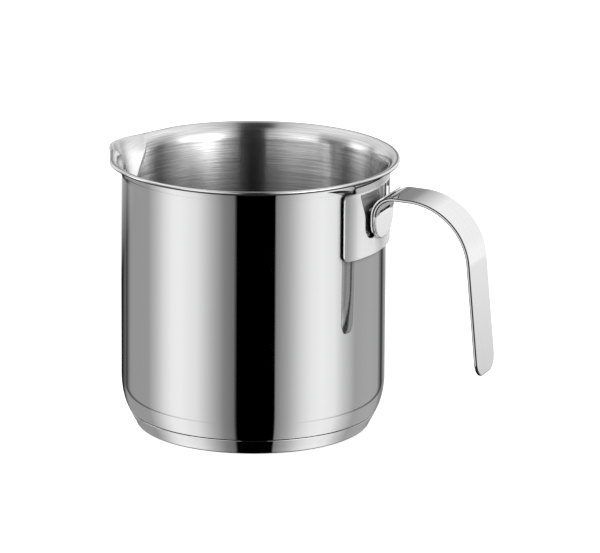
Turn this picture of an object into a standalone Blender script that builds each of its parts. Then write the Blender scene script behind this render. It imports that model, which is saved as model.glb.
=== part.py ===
"""Milk boiler: a tall stainless pot with a pouring lip, a bonded base and a strap handle.

Frame: metres, +Z up. The origin is the centre of the base's underside.
The handle points along +X and the pouring lip along -X, so the part is
symmetric about the XZ plane.
"""
import math

import bmesh
import bpy
from mathutils import Matrix, Vector

MM = 0.001

# vessel: a drawn shell, sized by its outer surface
BODY_RADIUS = 70.6 * MM
BODY_WALL = 0.6 * MM
RIM_HEIGHT = 145.75 * MM
FLARE_REACH = 5.6 * MM
FLARE_HEIGHT = 8.3 * MM
ROLL_RADIUS = 0.8 * MM
ROLL_DROP = 0.2 * MM
CORNER_REACH = 10.2 * MM
CORNER_HEIGHT = 22.4 * MM
CORNER_BOTTOM_DROP = 2.6 * MM
FLOOR_HEIGHT = 6.7 * MM
FLOOR_FILLET = 4.0 * MM

# pouring lip, a rounded V pressed outwards from the wall
SPOUT_REACH = 10.2 * MM
SPOUT_DEPTH = 26.75 * MM
SPOUT_HALF_ANGLE = math.radians(14.5)
SPOUT_ROUND_SHARE = 0.4
SPOUT_ROLL_FADE_SHARE = 0.6
SPOUT_DRAW_IN = 1.0 * MM
DRAW_IN_ANGLE = math.radians(24.0)
DRAW_IN_SPREAD = math.radians(7.0)

# bonded base: an aluminium disc inside a tapered stainless cap, set just inside the vessel's corner
CAP_TOP_INSET = 0.1 * MM
CAP_TOP_HEIGHT = 8.7 * MM
CAP_TAPER = 3.8 * MM
CAP_CORNER = 1.6 * MM
CAP_WALL = 0.5 * MM
SEAT_GAP = 0.3 * MM

# bracket: a saddle of sheet steel that stands off the wall, folded in at its top
BRACKET_SHEET = 0.8 * MM
BRACKET_STANDOFF = 1.2 * MM
BRACKET_HALF_ANGLE = math.radians(26.8)
BRACKET_DROP = 8.15 * MM
BRACKET_HEIGHT = 35.2 * MM
BRACKET_CORNER = 3.6 * MM
SHOULDER_RISE = 0.6 * MM
SHOULDER_CORNER = 3.0 * MM
FLANGE_SLOPE = math.radians(16.0)
FLANGE_HALF_WIDTH = 26.2 * MM
FLANGE_CORNER = 0.8 * MM
WINDOW_TOP_HALF = 22.0 * MM
WINDOW_LOW_HALF = 17.4 * MM
WINDOW_FOOT = 9.0 * MM
WINDOW_SHOULDER_RISE = 13.1 * MM
WINDOW_TOP_EDGE = 0.8 * MM
WINDOW_CORNER = 7.0 * MM

# tab of the bracket that the handle's tongue is welded to: it stands on a narrower neck
TAB_HALF_WIDTH = 13.2 * MM
NECK_HEIGHT = 2.0 * MM
TAB_CORNER = 6.0 * MM
NECK_HALF_WIDTH = 7.5 * MM
NECK_CORNER = 0.9 * MM
TAB_RISE = 5.0 * MM
TAB_WRAP = math.radians(62.0)

# strap handle: one strip of steel, bent twice
STRAP_WIDTH = 26.8 * MM
STRAP_SHEET = 1.8 * MM
STRAP_DROP = 10.85 * MM
STRAP_DROOP = math.radians(1.2)
STRAP_FALL = 93.1 * MM
STRAP_REACH = 62.6 * MM
STRAP_LEAN = math.radians(5.5)
ROOT_BEND = 9.6 * MM
GRIP_BEND = 35.5 * MM
STRAP_END_CORNER = 8.5 * MM
TONGUE_LAP = 1.8 * MM
TONGUE_CORNER = 12.0 * MM

# slot across the tongue and the tab behind it, which keeps heat out of the handle
SLOT_WIDTH = 15.0 * MM
SLOT_HEIGHT = 1.6 * MM
SLOT_DROP = 9.9 * MM

# weld nuggets between the bracket's legs and the wall
NUGGET_RADIUS = 2.6 * MM
NUGGET_EDGE = 5.2 * MM
NUGGET_SIDE = 4.4 * MM

# heights and reaches that follow from the sizes above: the bracket hangs from the rim
SEAT_HEIGHT = CAP_TOP_HEIGHT + SEAT_GAP
BRACKET_TOP = RIM_HEIGHT - BRACKET_DROP
BRACKET_BOTTOM = BRACKET_TOP - BRACKET_HEIGHT
WINDOW_BOTTOM = BRACKET_BOTTOM + WINDOW_FOOT
WINDOW_SHOULDER = WINDOW_BOTTOM + WINDOW_SHOULDER_RISE
TAB_BOTTOM = WINDOW_BOTTOM + NECK_HEIGHT
STRAP_TOP = RIM_HEIGHT - STRAP_DROP
STRAP_END_HEIGHT = STRAP_TOP - STRAP_FALL
STRAP_END_REACH = BODY_RADIUS + STRAP_REACH
TONGUE_BOTTOM = WINDOW_BOTTOM - TONGUE_LAP

# number of flats round a turned piece, and along each bend
TURN_STEPS = 80
SPOUT_ROWS = 4
ARC_STEPS = 6
BEND_STEPS = 8
FLANGE_TRIALS = 200
MERGE = 0.01 * MM
SMOOTH_ANGLE = math.radians(35.0)


def remove_everything():
    for item in list(bpy.data.objects):
        bpy.data.objects.remove(item, do_unlink=True)


def make_collection(name):
    group = bpy.data.collections.new(name)
    bpy.context.scene.collection.children.link(group)
    return group


def make_material(name, colour, roughness, metallic):
    material = bpy.data.materials.new(name)
    material.use_nodes = True
    shader = material.node_tree.nodes["Principled BSDF"]
    shader.inputs["Base Color"].default_value = (*colour, 1.0)
    shader.inputs["Roughness"].default_value = roughness
    shader.inputs["Metallic"].default_value = metallic
    material.diffuse_color = (*colour, 1.0)
    return material


def add_object(name, mesh, group, material):
    item = bpy.data.objects.new(name, mesh)
    item.data.materials.append(material)
    group.objects.link(item)
    return item


def smooth(item):
    item.data.shade_smooth()
    item.data.set_sharp_from_angle(angle=SMOOTH_ANGLE)


def ellipse_quarter(reach, height, steps):
    """Steps along a quarter ellipse, from (0, 0) upright to (reach, height) level."""
    turns = [math.pi / 2 * index / steps for index in range(steps + 1)]
    return [(reach * (1 - math.cos(turn)), height * math.sin(turn)) for turn in turns]


def profile_mesh(name, profile):
    mesh = bpy.data.meshes.new(name)
    points = [(radius, 0.0, height) for radius, height in profile]
    edges = [(index, index + 1) for index in range(len(points) - 1)]
    mesh.from_pydata(points, edges, [])
    return mesh


def add_screw(item):
    screw = item.modifiers.new("Turn", "SCREW")
    screw.axis = "Z"
    screw.steps = TURN_STEPS
    screw.render_steps = TURN_STEPS
    screw.use_merge_vertices = True
    screw.merge_threshold = MERGE
    screw.use_smooth_shade = True


def add_solidify(item, thickness):
    """Give a surface its sheet, laid inwards from the modelled outer face."""
    shell = item.modifiers.new("Sheet", "SOLIDIFY")
    shell.thickness = thickness
    shell.offset = -1.0
    shell.use_even_offset = True


def evaluated_mesh(item):
    graph = bpy.context.evaluated_depsgraph_get()
    return bpy.data.meshes.new_from_object(item.evaluated_get(graph))


def bake_modifiers(item):
    mesh = evaluated_mesh(item)
    item.modifiers.clear()
    item.data = mesh


# vessel

def corner_point(height):
    """The lower corner's radius at a height, on its quarter ellipse."""
    bottom = FLOOR_HEIGHT - CORNER_BOTTOM_DROP
    share = 1 - (height - bottom) / CORNER_HEIGHT
    return BODY_RADIUS - CORNER_REACH * (1 - math.sqrt(1 - share ** 2))


def vessel_profile():
    """Outer surface of the vessel from the lip down to the middle of its floor."""
    flare_base = RIM_HEIGHT - FLARE_HEIGHT
    ridge = BODY_RADIUS + FLARE_REACH
    # the lip is rolled over its ridge and ends in a short upright edge
    profile = [(ridge + ROLL_RADIUS, RIM_HEIGHT - ROLL_RADIUS - ROLL_DROP)]
    profile += [(ridge + ROLL_RADIUS * math.cos(turn), RIM_HEIGHT - ROLL_RADIUS * (1 - math.sin(turn)))
                for turn in spread(0.0, math.pi / 2, ARC_STEPS // 2)[:-1]]
    flare = [(BODY_RADIUS + out, flare_base + up)
             for out, up in ellipse_quarter(FLARE_REACH, FLARE_HEIGHT, ARC_STEPS)]
    profile += flare[::-1]
    spout_base = RIM_HEIGHT - SPOUT_DEPTH
    for row in range(1, SPOUT_ROWS + 1):
        height = flare_base + (spout_base - flare_base) * row / SPOUT_ROWS
        profile.append((BODY_RADIUS, height))
    corner_top = FLOOR_HEIGHT - CORNER_BOTTOM_DROP + CORNER_HEIGHT
    profile.append((BODY_RADIUS, corner_top))
    for step in range(1, ARC_STEPS + 1):
        # rows get closer towards the tighter end of the curve
        share = math.sin(math.pi / 2 * step / ARC_STEPS)
        height = corner_top + (SEAT_HEIGHT - corner_top) * share
        profile.append((corner_point(height), height))
    # the cap's top edge is pressed into a small step, and the floor's fillet starts inside it
    step_radius = cap_radius(FLOOR_HEIGHT) - CAP_WALL - SEAT_GAP
    fillet = ellipse_quarter(FLOOR_FILLET, SEAT_HEIGHT - FLOOR_HEIGHT, ARC_STEPS // 2)
    profile += [(step_radius - inward, SEAT_HEIGHT - down) for inward, down in fillet]
    profile.append(((step_radius - FLOOR_FILLET) / 2, FLOOR_HEIGHT))
    profile.append((0.0, FLOOR_HEIGHT))
    return profile


def spout_shape(share):
    """Height of the rounded V across the lip: 1 at its middle, 0 at its edges."""
    if share >= 1:
        return 0.0
    soft = SPOUT_ROUND_SHARE
    return 1 - (math.hypot(share, soft) - soft) / (math.hypot(1, soft) - soft)


def spout_radius(radius, height, angle):
    """Radius of the wall after the lip is pressed, at an angle from the lip's middle."""
    roll = max(radius - BODY_RADIUS - FLARE_REACH, 0.0)
    if roll > MERGE:
        height = RIM_HEIGHT
    rise = (height - (RIM_HEIGHT - SPOUT_DEPTH)) / SPOUT_DEPTH
    if rise <= 0:
        return radius
    ridge = BODY_RADIUS + SPOUT_REACH * rise
    half_angle = SPOUT_HALF_ANGLE * max(rise, SPOUT_ROUND_SHARE / 2)
    flare = (radius - BODY_RADIUS) / FLARE_REACH
    drawn = flare * SPOUT_DRAW_IN * math.exp(-((angle - DRAW_IN_ANGLE) / DRAW_IN_SPREAD) ** 2)
    out = max(ridge - radius + roll, 0.0) - roll * SPOUT_ROLL_FADE_SHARE
    return radius + out * spout_shape(angle / half_angle) - drawn


def press_spout(mesh):
    for vertex in mesh.vertices:
        point = vertex.co
        radius = math.hypot(point.x, point.y)
        if radius > BODY_RADIUS - MERGE:
            angle = abs(math.atan2(point.y, -point.x))
            scale = spout_radius(radius, point.z, angle) / radius
            point.x *= scale
            point.y *= scale


def build_vessel(group, steel):
    item = add_object("vessel", profile_mesh("vessel", vessel_profile()), group, steel)
    add_screw(item)
    bake_modifiers(item)
    press_spout(item.data)
    add_solidify(item, BODY_WALL)
    smooth(item)
    return item


# bonded base

def cap_top_radius():
    """The cap's top edge stands just inside the vessel's corner above it."""
    return corner_point(SEAT_HEIGHT) - CAP_TOP_INSET


def cap_profile():
    """Outer surface of the base cap from its top edge down to the middle of its underside."""
    foot = cap_top_radius() - CAP_TAPER - CAP_CORNER
    arc = [(foot + CAP_CORNER * math.cos(turn), CAP_CORNER * (1 - math.sin(turn)))
           for turn in (math.pi / 2 * step / ARC_STEPS for step in range(0, ARC_STEPS + 1, 2))]
    return [(cap_top_radius(), CAP_TOP_HEIGHT), *arc, (foot / 2, 0.0), (0.0, 0.0)]


def build_base_cap(group, steel):
    item = add_object("base_cap", profile_mesh("base_cap", cap_profile()), group, steel)
    add_screw(item)
    add_solidify(item, CAP_WALL)
    smooth(item)
    return item


def cap_radius(height):
    """Outer radius of the cap's tapered side at a height."""
    share = (CAP_TOP_HEIGHT - height) / (CAP_TOP_HEIGHT - CAP_CORNER)
    return cap_top_radius() - CAP_TAPER * share


def build_core_disc(group, aluminium):
    bottom = CAP_WALL + SEAT_GAP
    top = FLOOR_HEIGHT - SEAT_GAP
    inset = CAP_WALL + 2 * SEAT_GAP
    low = cap_radius(bottom + CAP_CORNER) - inset
    high = cap_radius(top) - inset
    profile = [(0.0, top), (high, top), (low, bottom + CAP_CORNER),
               (low - CAP_CORNER, bottom), (0.0, bottom)]
    item = add_object("core_disc", profile_mesh("core_disc", profile), group, aluminium)
    add_screw(item)
    smooth(item)
    return item


# sheet metal: a flat blank of the sheet's thickness, cut across where it bends, then bent

def rounded_outline(corners):
    """A closed outline through corners given as (across, up, radius), rounded in arcs."""
    points = []
    count = len(corners)
    for index, (across, up, radius) in enumerate(corners):
        here = Vector((across, up))
        before = Vector(corners[index - 1][:2]) - here
        after = Vector(corners[(index + 1) % count][:2]) - here
        if radius <= 0:
            points.append(here)
            continue
        half = before.angle(after) / 2
        reach = radius / math.tan(half)
        start = here + before.normalized() * reach
        centre = here + (before.normalized() + after.normalized()).normalized() * (
            radius / math.sin(half))
        sweep = (start - centre).angle_signed(here + after.normalized() * reach - centre)
        for step in range(ARC_STEPS + 1):
            turn = Matrix.Rotation(-sweep * step / ARC_STEPS, 2)
            points.append(centre + turn @ (start - centre))
    return points


def blank_mesh(name, outlines, sheet):
    """A flat plate in the XY plane; outlines inside the first one are holes."""
    curve = bpy.data.curves.new(name, "CURVE")
    curve.dimensions = "2D"
    curve.fill_mode = "BOTH"
    curve.extrude = sheet / 2
    for outline in outlines:
        spline = curve.splines.new("POLY")
        spline.points.add(len(outline) - 1)
        for point, place in zip(spline.points, outline):
            point.co = (place[0], place[1], 0.0, 1.0)
        spline.use_cyclic_u = True
    item = bpy.data.objects.new(name, curve)
    bpy.context.scene.collection.objects.link(item)
    mesh = evaluated_mesh(item)
    bpy.data.objects.remove(item, do_unlink=True)
    return mesh


def bend_blank(mesh, sheet, cuts_across, cuts_up, place):
    """Cut the blank along straight lines, then move each point to place(across, up, depth)."""
    work = bmesh.new()
    work.from_mesh(mesh)
    bmesh.ops.remove_doubles(work, verts=work.verts[:], dist=MERGE)
    bmesh.ops.recalc_face_normals(work, faces=work.faces[:])
    for normal, cuts in (((1, 0, 0), cuts_across), ((0, 1, 0), cuts_up)):
        for cut in cuts:
            parts = work.verts[:] + work.edges[:] + work.faces[:]
            bmesh.ops.bisect_plane(work, geom=parts, dist=MERGE,
                                   plane_co=Vector(normal) * cut, plane_no=normal)
    for vertex in work.verts:
        vertex.co = place(vertex.co.x, vertex.co.y, sheet / 2 - vertex.co.z)
    work.to_mesh(mesh)
    work.free()


def spread(first, last, steps):
    return [first + (last - first) * index / steps for index in range(steps + 1)]


# strap handle

def tongue_face():
    """How far from the axis the pot side of the tongue stands."""
    return bracket_radius() + SEAT_GAP


def strap_runs():
    """The strap's runs as (length, heading, turn): headings are angles in the XZ plane."""
    outer = ROOT_BEND + STRAP_SHEET
    upright = STRAP_TOP - outer - TONGUE_BOTTOM
    root_turn = -(math.pi / 2 + STRAP_DROOP)
    level = -STRAP_DROOP
    grip_turn = -(math.pi / 2 - STRAP_DROOP - STRAP_LEAN)
    down = level + grip_turn
    # the level run and the grip fill the reach and the height that are left
    start_x = tongue_face() + outer * (1 + math.sin(STRAP_DROOP))
    start_z = STRAP_TOP - outer * (1 - math.cos(STRAP_DROOP))
    bend_x = GRIP_BEND * (math.sin(level) - math.sin(down))
    bend_z = GRIP_BEND * (math.cos(down) - math.cos(level))
    left_x = STRAP_END_REACH - start_x - bend_x
    left_z = STRAP_END_HEIGHT - start_z - bend_z
    # solve level_run * (cos level, sin level) + grip_run * (cos down, sin down) = (left_x, left_z)
    spin = math.cos(level) * math.sin(down) - math.sin(level) * math.cos(down)
    level_run = (left_x * math.sin(down) - left_z * math.cos(down)) / spin
    grip_run = (math.cos(level) * left_z - math.sin(level) * left_x) / spin
    return [(upright, math.pi / 2, 0.0),
            (outer * -root_turn, math.pi / 2, root_turn),
            (level_run, level, 0.0),
            (GRIP_BEND * -grip_turn, level, grip_turn),
            (grip_run, down, 0.0)]


def strap_length():
    return sum(run[0] for run in strap_runs())


def strap_point(distance):
    """Place on the strap's outer face at a distance along it, with its heading."""
    x, z = tongue_face(), TONGUE_BOTTOM
    for index, (length, heading, turn) in enumerate(strap_runs()):
        last = index == len(strap_runs()) - 1
        travel = distance if last else min(distance, length)
        if turn == 0:
            x += travel * math.cos(heading)
            z += travel * math.sin(heading)
            now = heading
        else:
            radius = length / turn
            now = heading + travel / radius
            x += radius * (math.sin(now) - math.sin(heading))
            z += radius * (math.cos(heading) - math.cos(now))
        if distance <= length and not last:
            break
        distance -= length
    return x, z, now


def strap_stations():
    """Distances at which the blank is cut so that it bends evenly."""
    stations = []
    start = 0.0
    for length, heading, turn in strap_runs():
        steps = BEND_STEPS if turn else 1
        stations += spread(start, start + length, steps)
        start += length
    return sorted(set(stations))[1:-1]


def strap_outline():
    half = STRAP_WIDTH / 2
    end = strap_length()
    return rounded_outline([
        (-half, 0.0, TONGUE_CORNER), (half, 0.0, TONGUE_CORNER),
        (half, end, STRAP_END_CORNER), (-half, end, STRAP_END_CORNER)])


def slot_outline(middle):
    half = SLOT_WIDTH / 2
    low, high = middle - SLOT_HEIGHT / 2, middle + SLOT_HEIGHT / 2
    round_end = SLOT_HEIGHT / 2 - MERGE
    return rounded_outline([
        (-half, low, round_end), (half, low, round_end),
        (half, high, round_end), (-half, high, round_end)])


def strap_slot_middle():
    """How far along the strap the slot lies."""
    return strap_runs()[0][0] + ROOT_BEND + STRAP_SHEET - SLOT_DROP


def strap_place(across, along, depth):
    """Depth is measured from the face that lies outside both bends."""
    x, z, heading = strap_point(along)
    return Vector((x + depth * math.sin(heading), -across, z - depth * math.cos(heading)))


def build_strap(group, steel):
    outlines = [strap_outline(), slot_outline(strap_slot_middle())]
    mesh = blank_mesh("handle_strap", outlines, STRAP_SHEET)
    bend_blank(mesh, STRAP_SHEET, [], strap_stations(), strap_place)
    item = add_object("handle_strap", mesh, group, steel)
    smooth(item)
    return item


# bracket

def bracket_radius():
    """Outer face of the bracket."""
    return BODY_RADIUS + BRACKET_STANDOFF + BRACKET_SHEET


def flare_radius(height):
    """Outer radius of the wall under the rim at a height."""
    share = max(height - (RIM_HEIGHT - FLARE_HEIGHT), 0.0) / FLARE_HEIGHT
    return BODY_RADIUS + FLARE_REACH * (1 - math.sqrt(1 - min(share, 1.0) ** 2))


def flange_length():
    """The folded top reaches in until its lower corner is a seat gap short of the flare."""
    reach = 0.0
    longest = (BRACKET_STANDOFF + BRACKET_SHEET) / math.sin(FLANGE_SLOPE)
    for length in spread(0.0, longest, FLANGE_TRIALS):
        radius = bracket_radius() - length * math.sin(FLANGE_SLOPE)
        height = BRACKET_TOP + length * math.cos(FLANGE_SLOPE)
        corner_radius = radius - BRACKET_SHEET * math.cos(FLANGE_SLOPE)
        corner_height = height - BRACKET_SHEET * math.sin(FLANGE_SLOPE)
        clear = min(corner_radius - flare_radius(corner_height), radius - flare_radius(height))
        if clear >= SEAT_GAP:
            reach = length
    return reach


def tab_top():
    """Height at which the tab starts to wrap over the strap's root bend."""
    return STRAP_TOP - ROOT_BEND - STRAP_SHEET


def bracket_outline():
    """The saddle's blank: its folded top edge is narrower than the saddle."""
    half = BRACKET_HALF_ANGLE * bracket_radius()
    flange = FLANGE_HALF_WIDTH
    shoulder = BRACKET_TOP + SHOULDER_RISE
    top = BRACKET_TOP + flange_length()
    left = [(-flange, top, FLANGE_CORNER), (-flange, shoulder, FLANGE_CORNER),
            (-half, shoulder, SHOULDER_CORNER), (-half, BRACKET_BOTTOM, BRACKET_CORNER)]
    right = [(-across, up, radius) for across, up, radius in reversed(left)]
    return rounded_outline(left + right)


def tab_end():
    """How far up the blank the tab reaches, its wrap included."""
    return tab_top() + TAB_WRAP * wrap_radius()


def window_outline():
    """The U-shaped window, which leaves the tab standing on its neck in the middle."""
    top = BRACKET_TOP - WINDOW_TOP_EDGE
    left = [(-WINDOW_TOP_HALF, top, 0.0), (-WINDOW_LOW_HALF, WINDOW_SHOULDER, 0.0),
            (-WINDOW_LOW_HALF, WINDOW_BOTTOM, WINDOW_CORNER),
            (-NECK_HALF_WIDTH, WINDOW_BOTTOM, NECK_CORNER),
            (-NECK_HALF_WIDTH, TAB_BOTTOM, NECK_CORNER),
            (-TAB_HALF_WIDTH, TAB_BOTTOM, TAB_CORNER), (-TAB_HALF_WIDTH, tab_end(), 0.0)]
    right = [(-across, up, radius) for across, up, radius in reversed(left)]
    return rounded_outline(left + right)


def wrap_radius():
    """Radius of the tab's inner face where it wraps over the strap's root bend."""
    return ROOT_BEND + STRAP_SHEET + SEAT_GAP


def tab_slot_middle():
    """The tab's slot lies behind the strap's, at the same turn of the root bend."""
    turn = (strap_slot_middle() - strap_runs()[0][0]) / (ROOT_BEND + STRAP_SHEET)
    return tab_top() + turn * wrap_radius()


def saddle_place(across, up, depth):
    """Wrap the blank round the pot and fold its top edge in towards the wall."""
    folded = max(up - BRACKET_TOP, 0.0)
    slope = FLANGE_SLOPE if folded else 0.0
    radius = bracket_radius() - folded * math.sin(slope) - depth * math.cos(slope)
    height = min(up, BRACKET_TOP) + folded * math.cos(slope) - depth * math.sin(slope)
    angle = across / bracket_radius()
    return Vector((radius * math.cos(angle), radius * math.sin(angle), height))


def tab_place(across, up, depth):
    """The tab leaves the saddle's curve, stands flat and wraps over the strap's bend."""
    rise = min(max((up - WINDOW_BOTTOM) / TAB_RISE, 0.0), 1.0)
    turn = max(up - tab_top(), 0.0) / wrap_radius()
    radius = wrap_radius() + depth
    x = bracket_radius() + wrap_radius() - radius * math.cos(turn)
    z = min(up, tab_top()) + radius * math.sin(turn)
    return saddle_place(across, up, depth).lerp(Vector((x, across, z)), rise)


def on_tab(across, up):
    inside = abs(across) < TAB_HALF_WIDTH + MERGE and TAB_BOTTOM - MERGE < up
    on_neck = abs(across) < NECK_HALF_WIDTH + NECK_CORNER and WINDOW_BOTTOM < up
    return (inside or on_neck) and up < tab_end() + MERGE


def bracket_place(across, up, depth):
    place = tab_place if on_tab(across, up) else saddle_place
    return place(across, up, depth)


def build_bracket(group, steel):
    outlines = [bracket_outline(), window_outline(), slot_outline(tab_slot_middle())]
    mesh = blank_mesh("bracket", outlines, BRACKET_SHEET)
    half = BRACKET_HALF_ANGLE * bracket_radius()
    across_cuts = spread(-half, half, 2 * BEND_STEPS)[1:-1]
    up_cuts = [BRACKET_TOP, *spread(WINDOW_BOTTOM, WINDOW_BOTTOM + TAB_RISE, ARC_STEPS // 2),
               *spread(tab_top(), tab_end(), ARC_STEPS)[:-1]]
    bend_blank(mesh, BRACKET_SHEET, across_cuts, sorted(up_cuts), bracket_place)
    item = add_object("bracket", mesh, group, steel)
    smooth(item)
    return item


# welds between the bracket's legs and the wall

def build_nuggets(group, weld):
    """Four round nuggets under the saddle's legs, two each side."""
    half = BRACKET_HALF_ANGLE * bracket_radius()
    angle = (half - NUGGET_SIDE) / bracket_radius()
    low = BRACKET_BOTTOM + NUGGET_EDGE
    high = BRACKET_TOP - NUGGET_EDGE
    number = 0
    for side in (-1, 1):
        for height in (low, high):
            number += 1
            work = bmesh.new()
            bmesh.ops.create_cone(work, cap_ends=True, segments=4 * ARC_STEPS,
                                  radius1=NUGGET_RADIUS, radius2=NUGGET_RADIUS,
                                  depth=BRACKET_STANDOFF - 2 * SEAT_GAP)
            mesh = bpy.data.meshes.new(f"wall_weld_{number}")
            work.to_mesh(mesh)
            work.free()
            item = add_object(f"wall_weld_{number}", mesh, group, weld)
            middle = BODY_RADIUS + BRACKET_STANDOFF / 2
            item.location = (middle * math.cos(side * angle), middle * math.sin(side * angle), height)
            item.rotation_euler = (0.0, math.pi / 2, side * angle)
            smooth(item)


def build_milk_boiler():
    remove_everything()
    group = make_collection("milk_boiler")
    mirror_steel = make_material("polished_steel", (0.62, 0.61, 0.60), 0.12, 1.0)
    cap_steel = make_material("base_steel", (0.60, 0.59, 0.58), 0.22, 1.0)
    bracket_steel = make_material("bracket_steel", (0.58, 0.58, 0.57), 0.25, 1.0)
    strap_steel = make_material("strap_steel", (0.64, 0.63, 0.62), 0.18, 1.0)
    aluminium = make_material("core_aluminium", (0.80, 0.80, 0.81), 0.45, 1.0)
    weld = make_material("weld_steel", (0.45, 0.45, 0.45), 0.50, 1.0)
    build_vessel(group, mirror_steel)
    build_core_disc(group, aluminium)
    build_base_cap(group, cap_steel)
    build_bracket(group, bracket_steel)
    build_strap(group, strap_steel)
    build_nuggets(group, weld)


build_milk_boiler()
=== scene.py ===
import math

import bmesh
import bpy
from mathutils import Matrix, Vector


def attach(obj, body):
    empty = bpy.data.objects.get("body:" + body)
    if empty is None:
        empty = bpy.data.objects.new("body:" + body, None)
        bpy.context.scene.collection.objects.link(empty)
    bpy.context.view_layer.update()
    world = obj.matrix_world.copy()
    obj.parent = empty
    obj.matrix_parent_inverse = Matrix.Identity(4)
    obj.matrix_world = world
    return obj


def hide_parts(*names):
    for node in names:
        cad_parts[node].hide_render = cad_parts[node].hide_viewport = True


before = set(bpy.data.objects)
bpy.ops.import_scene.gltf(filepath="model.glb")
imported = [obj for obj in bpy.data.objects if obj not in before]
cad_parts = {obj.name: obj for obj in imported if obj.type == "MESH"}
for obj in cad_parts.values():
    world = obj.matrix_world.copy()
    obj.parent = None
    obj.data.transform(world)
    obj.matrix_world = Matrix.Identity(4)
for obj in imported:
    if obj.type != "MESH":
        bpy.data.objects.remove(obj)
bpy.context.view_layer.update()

mm = 0.001
weldDistance = 0.01 * mm
edgeAngle = math.radians(50)  # edges sharper than this are rounded
flatWeight = 60  # how much large faces decide a sheet's normals
nookSamples = 8


# small helpers for meshes

def evaluatedMesh(piece):
    graph = bpy.context.evaluated_depsgraph_get()
    return bpy.data.meshes.new_from_object(piece.evaluated_get(graph))


def addPiece(name, mesh, materials):
    piece = bpy.data.objects.new(name, mesh)
    for material in materials:
        mesh.materials.append(material)
    bpy.context.scene.collection.objects.link(piece)
    return piece


def smoothShade(piece, angle):
    piece.data.shade_smooth()
    piece.data.set_sharp_from_angle(angle=angle)


def quarterEllipse(reach, height, steps):  # from (0, 0) upright to (reach, height) level
    turns = [math.pi / 2 * step / steps for step in range(steps + 1)]
    return [(reach * (1 - math.cos(turn)), height * math.sin(turn)) for turn in turns]


def spread(first, last, steps):
    return [first + (last - first) * step / steps for step in range(steps + 1)]


def turnedMesh(name, rings, columns, placeAt, slotAt):
    # rings of points round the axis, joined by quads and closed by a fan on the axis
    mesh = bpy.data.meshes.new(name)
    work = bmesh.new()
    grid = [[work.verts.new(placeAt(ring, column)) for column in range(columns)] for ring in range(rings)]
    for ring in range(rings - 1):
        upper, lower = grid[ring], grid[ring + 1]
        for column in range(columns):
            after = (column + 1) % columns
            face = work.faces.new((upper[column], lower[column], lower[after], upper[after]))
            face.material_index = slotAt(ring, column)
            face.smooth = True
    height = grid[-1][0].co.z
    centre = work.verts.new((0, 0, height))
    for column in range(columns):
        face = work.faces.new((grid[-1][column], centre, grid[-1][(column + 1) % columns]))
        face.material_index = slotAt(rings - 1, column)
        face.smooth = True
    work.to_mesh(mesh)
    work.free()
    return mesh


def addSheet(piece, thickness, innerSlots=0):  # sheet laid inwards from the modelled outer face
    shell = piece.modifiers.new("Sheet", "SOLIDIFY")
    shell.thickness = thickness
    shell.offset = -1
    shell.use_even_offset = True
    shell.material_offset = innerSlots


def addEdgeRound(piece, width, segments=2):
    bevel = piece.modifiers.new("Edge", "BEVEL")
    bevel.width = width
    bevel.segments = segments
    bevel.limit_method = "ANGLE"
    bevel.angle_limit = edgeAngle
    bevel.harden_normals = True


# shader nodes: the two groups give only values that change over the surface

def newGroup(name, inputs, outputs):
    group = bpy.data.node_groups.new(name, "ShaderNodeTree")
    for label, kind, value in inputs:
        socket = group.interface.new_socket(name=label, in_out="INPUT", socket_type=kind)
        socket.default_value = value
    for label, kind in outputs:
        group.interface.new_socket(name=label, in_out="OUTPUT", socket_type=kind)
    return group, group.nodes.new("NodeGroupInput"), group.nodes.new("NodeGroupOutput")


def addNode(tree, kind, **settings):
    node = tree.nodes.new(kind)
    for key, value in settings.items():
        setattr(node, key, value)
    return node


def setInputs(tree, node, values):  # sockets are linked, and constants are set on the node's own inputs
    for label, value in values.items():
        if isinstance(value, bpy.types.NodeSocket):
            tree.links.new(value, node.inputs[label])
        else:
            node.inputs[label].default_value = value


def mathNode(tree, operation, *values):
    node = addNode(tree, "ShaderNodeMath", operation=operation)
    setInputs(tree, node, dict(enumerate(values)))
    return node.outputs[0]


def vectorNode(tree, operation, *values):
    node = addNode(tree, "ShaderNodeVectorMath", operation=operation)
    setInputs(tree, node, dict(enumerate(values)))
    return node.outputs["Value" if operation in ("LENGTH", "DOT_PRODUCT") else "Vector"]


def splitNode(tree, vector):
    node = addNode(tree, "ShaderNodeSeparateXYZ")
    tree.links.new(vector, node.inputs[0])
    return node.outputs


def mapNode(tree, value, fromLow, fromHigh, toLow, toHigh):
    node = addNode(tree, "ShaderNodeMapRange")
    setInputs(tree, node, {"Value": value, "From Min": fromLow, "From Max": fromHigh,
                           "To Min": toLow, "To Max": toHigh})
    return node.outputs["Result"]


def rampNode(tree, share, steps):  # grey level that follows the share; the steps are (share, level)
    node = addNode(tree, "ShaderNodeValToRGB")
    stops = node.color_ramp.elements
    stops.remove(stops[-1])
    for index, (place, level) in enumerate(steps):
        stop = stops[0] if index == 0 else stops.new(place)
        stop.position = place
        stop.color = (level, level, level, 1)
    tree.links.new(share, node.inputs["Fac"])
    return node.outputs["Color"]


brushNoise = {
    "coarseScale": 0.5, "coarseDetail": 3, "coarseShare": 0.45,
    "fineScale": 1.7, "fineDetail": 4, "fineShare": 0.55,
    "roughness": 0.6, "low": 0.3, "high": 0.7,
}
hazeNoise = {
    "coarseScale": 38, "coarseDetail": 5, "coarseShare": 0.8,
    "fineScale": 900, "fineDetail": 2, "fineShare": 0.2,
    "roughness": 0.5, "low": 0.35, "high": 0.65,
}


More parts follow.
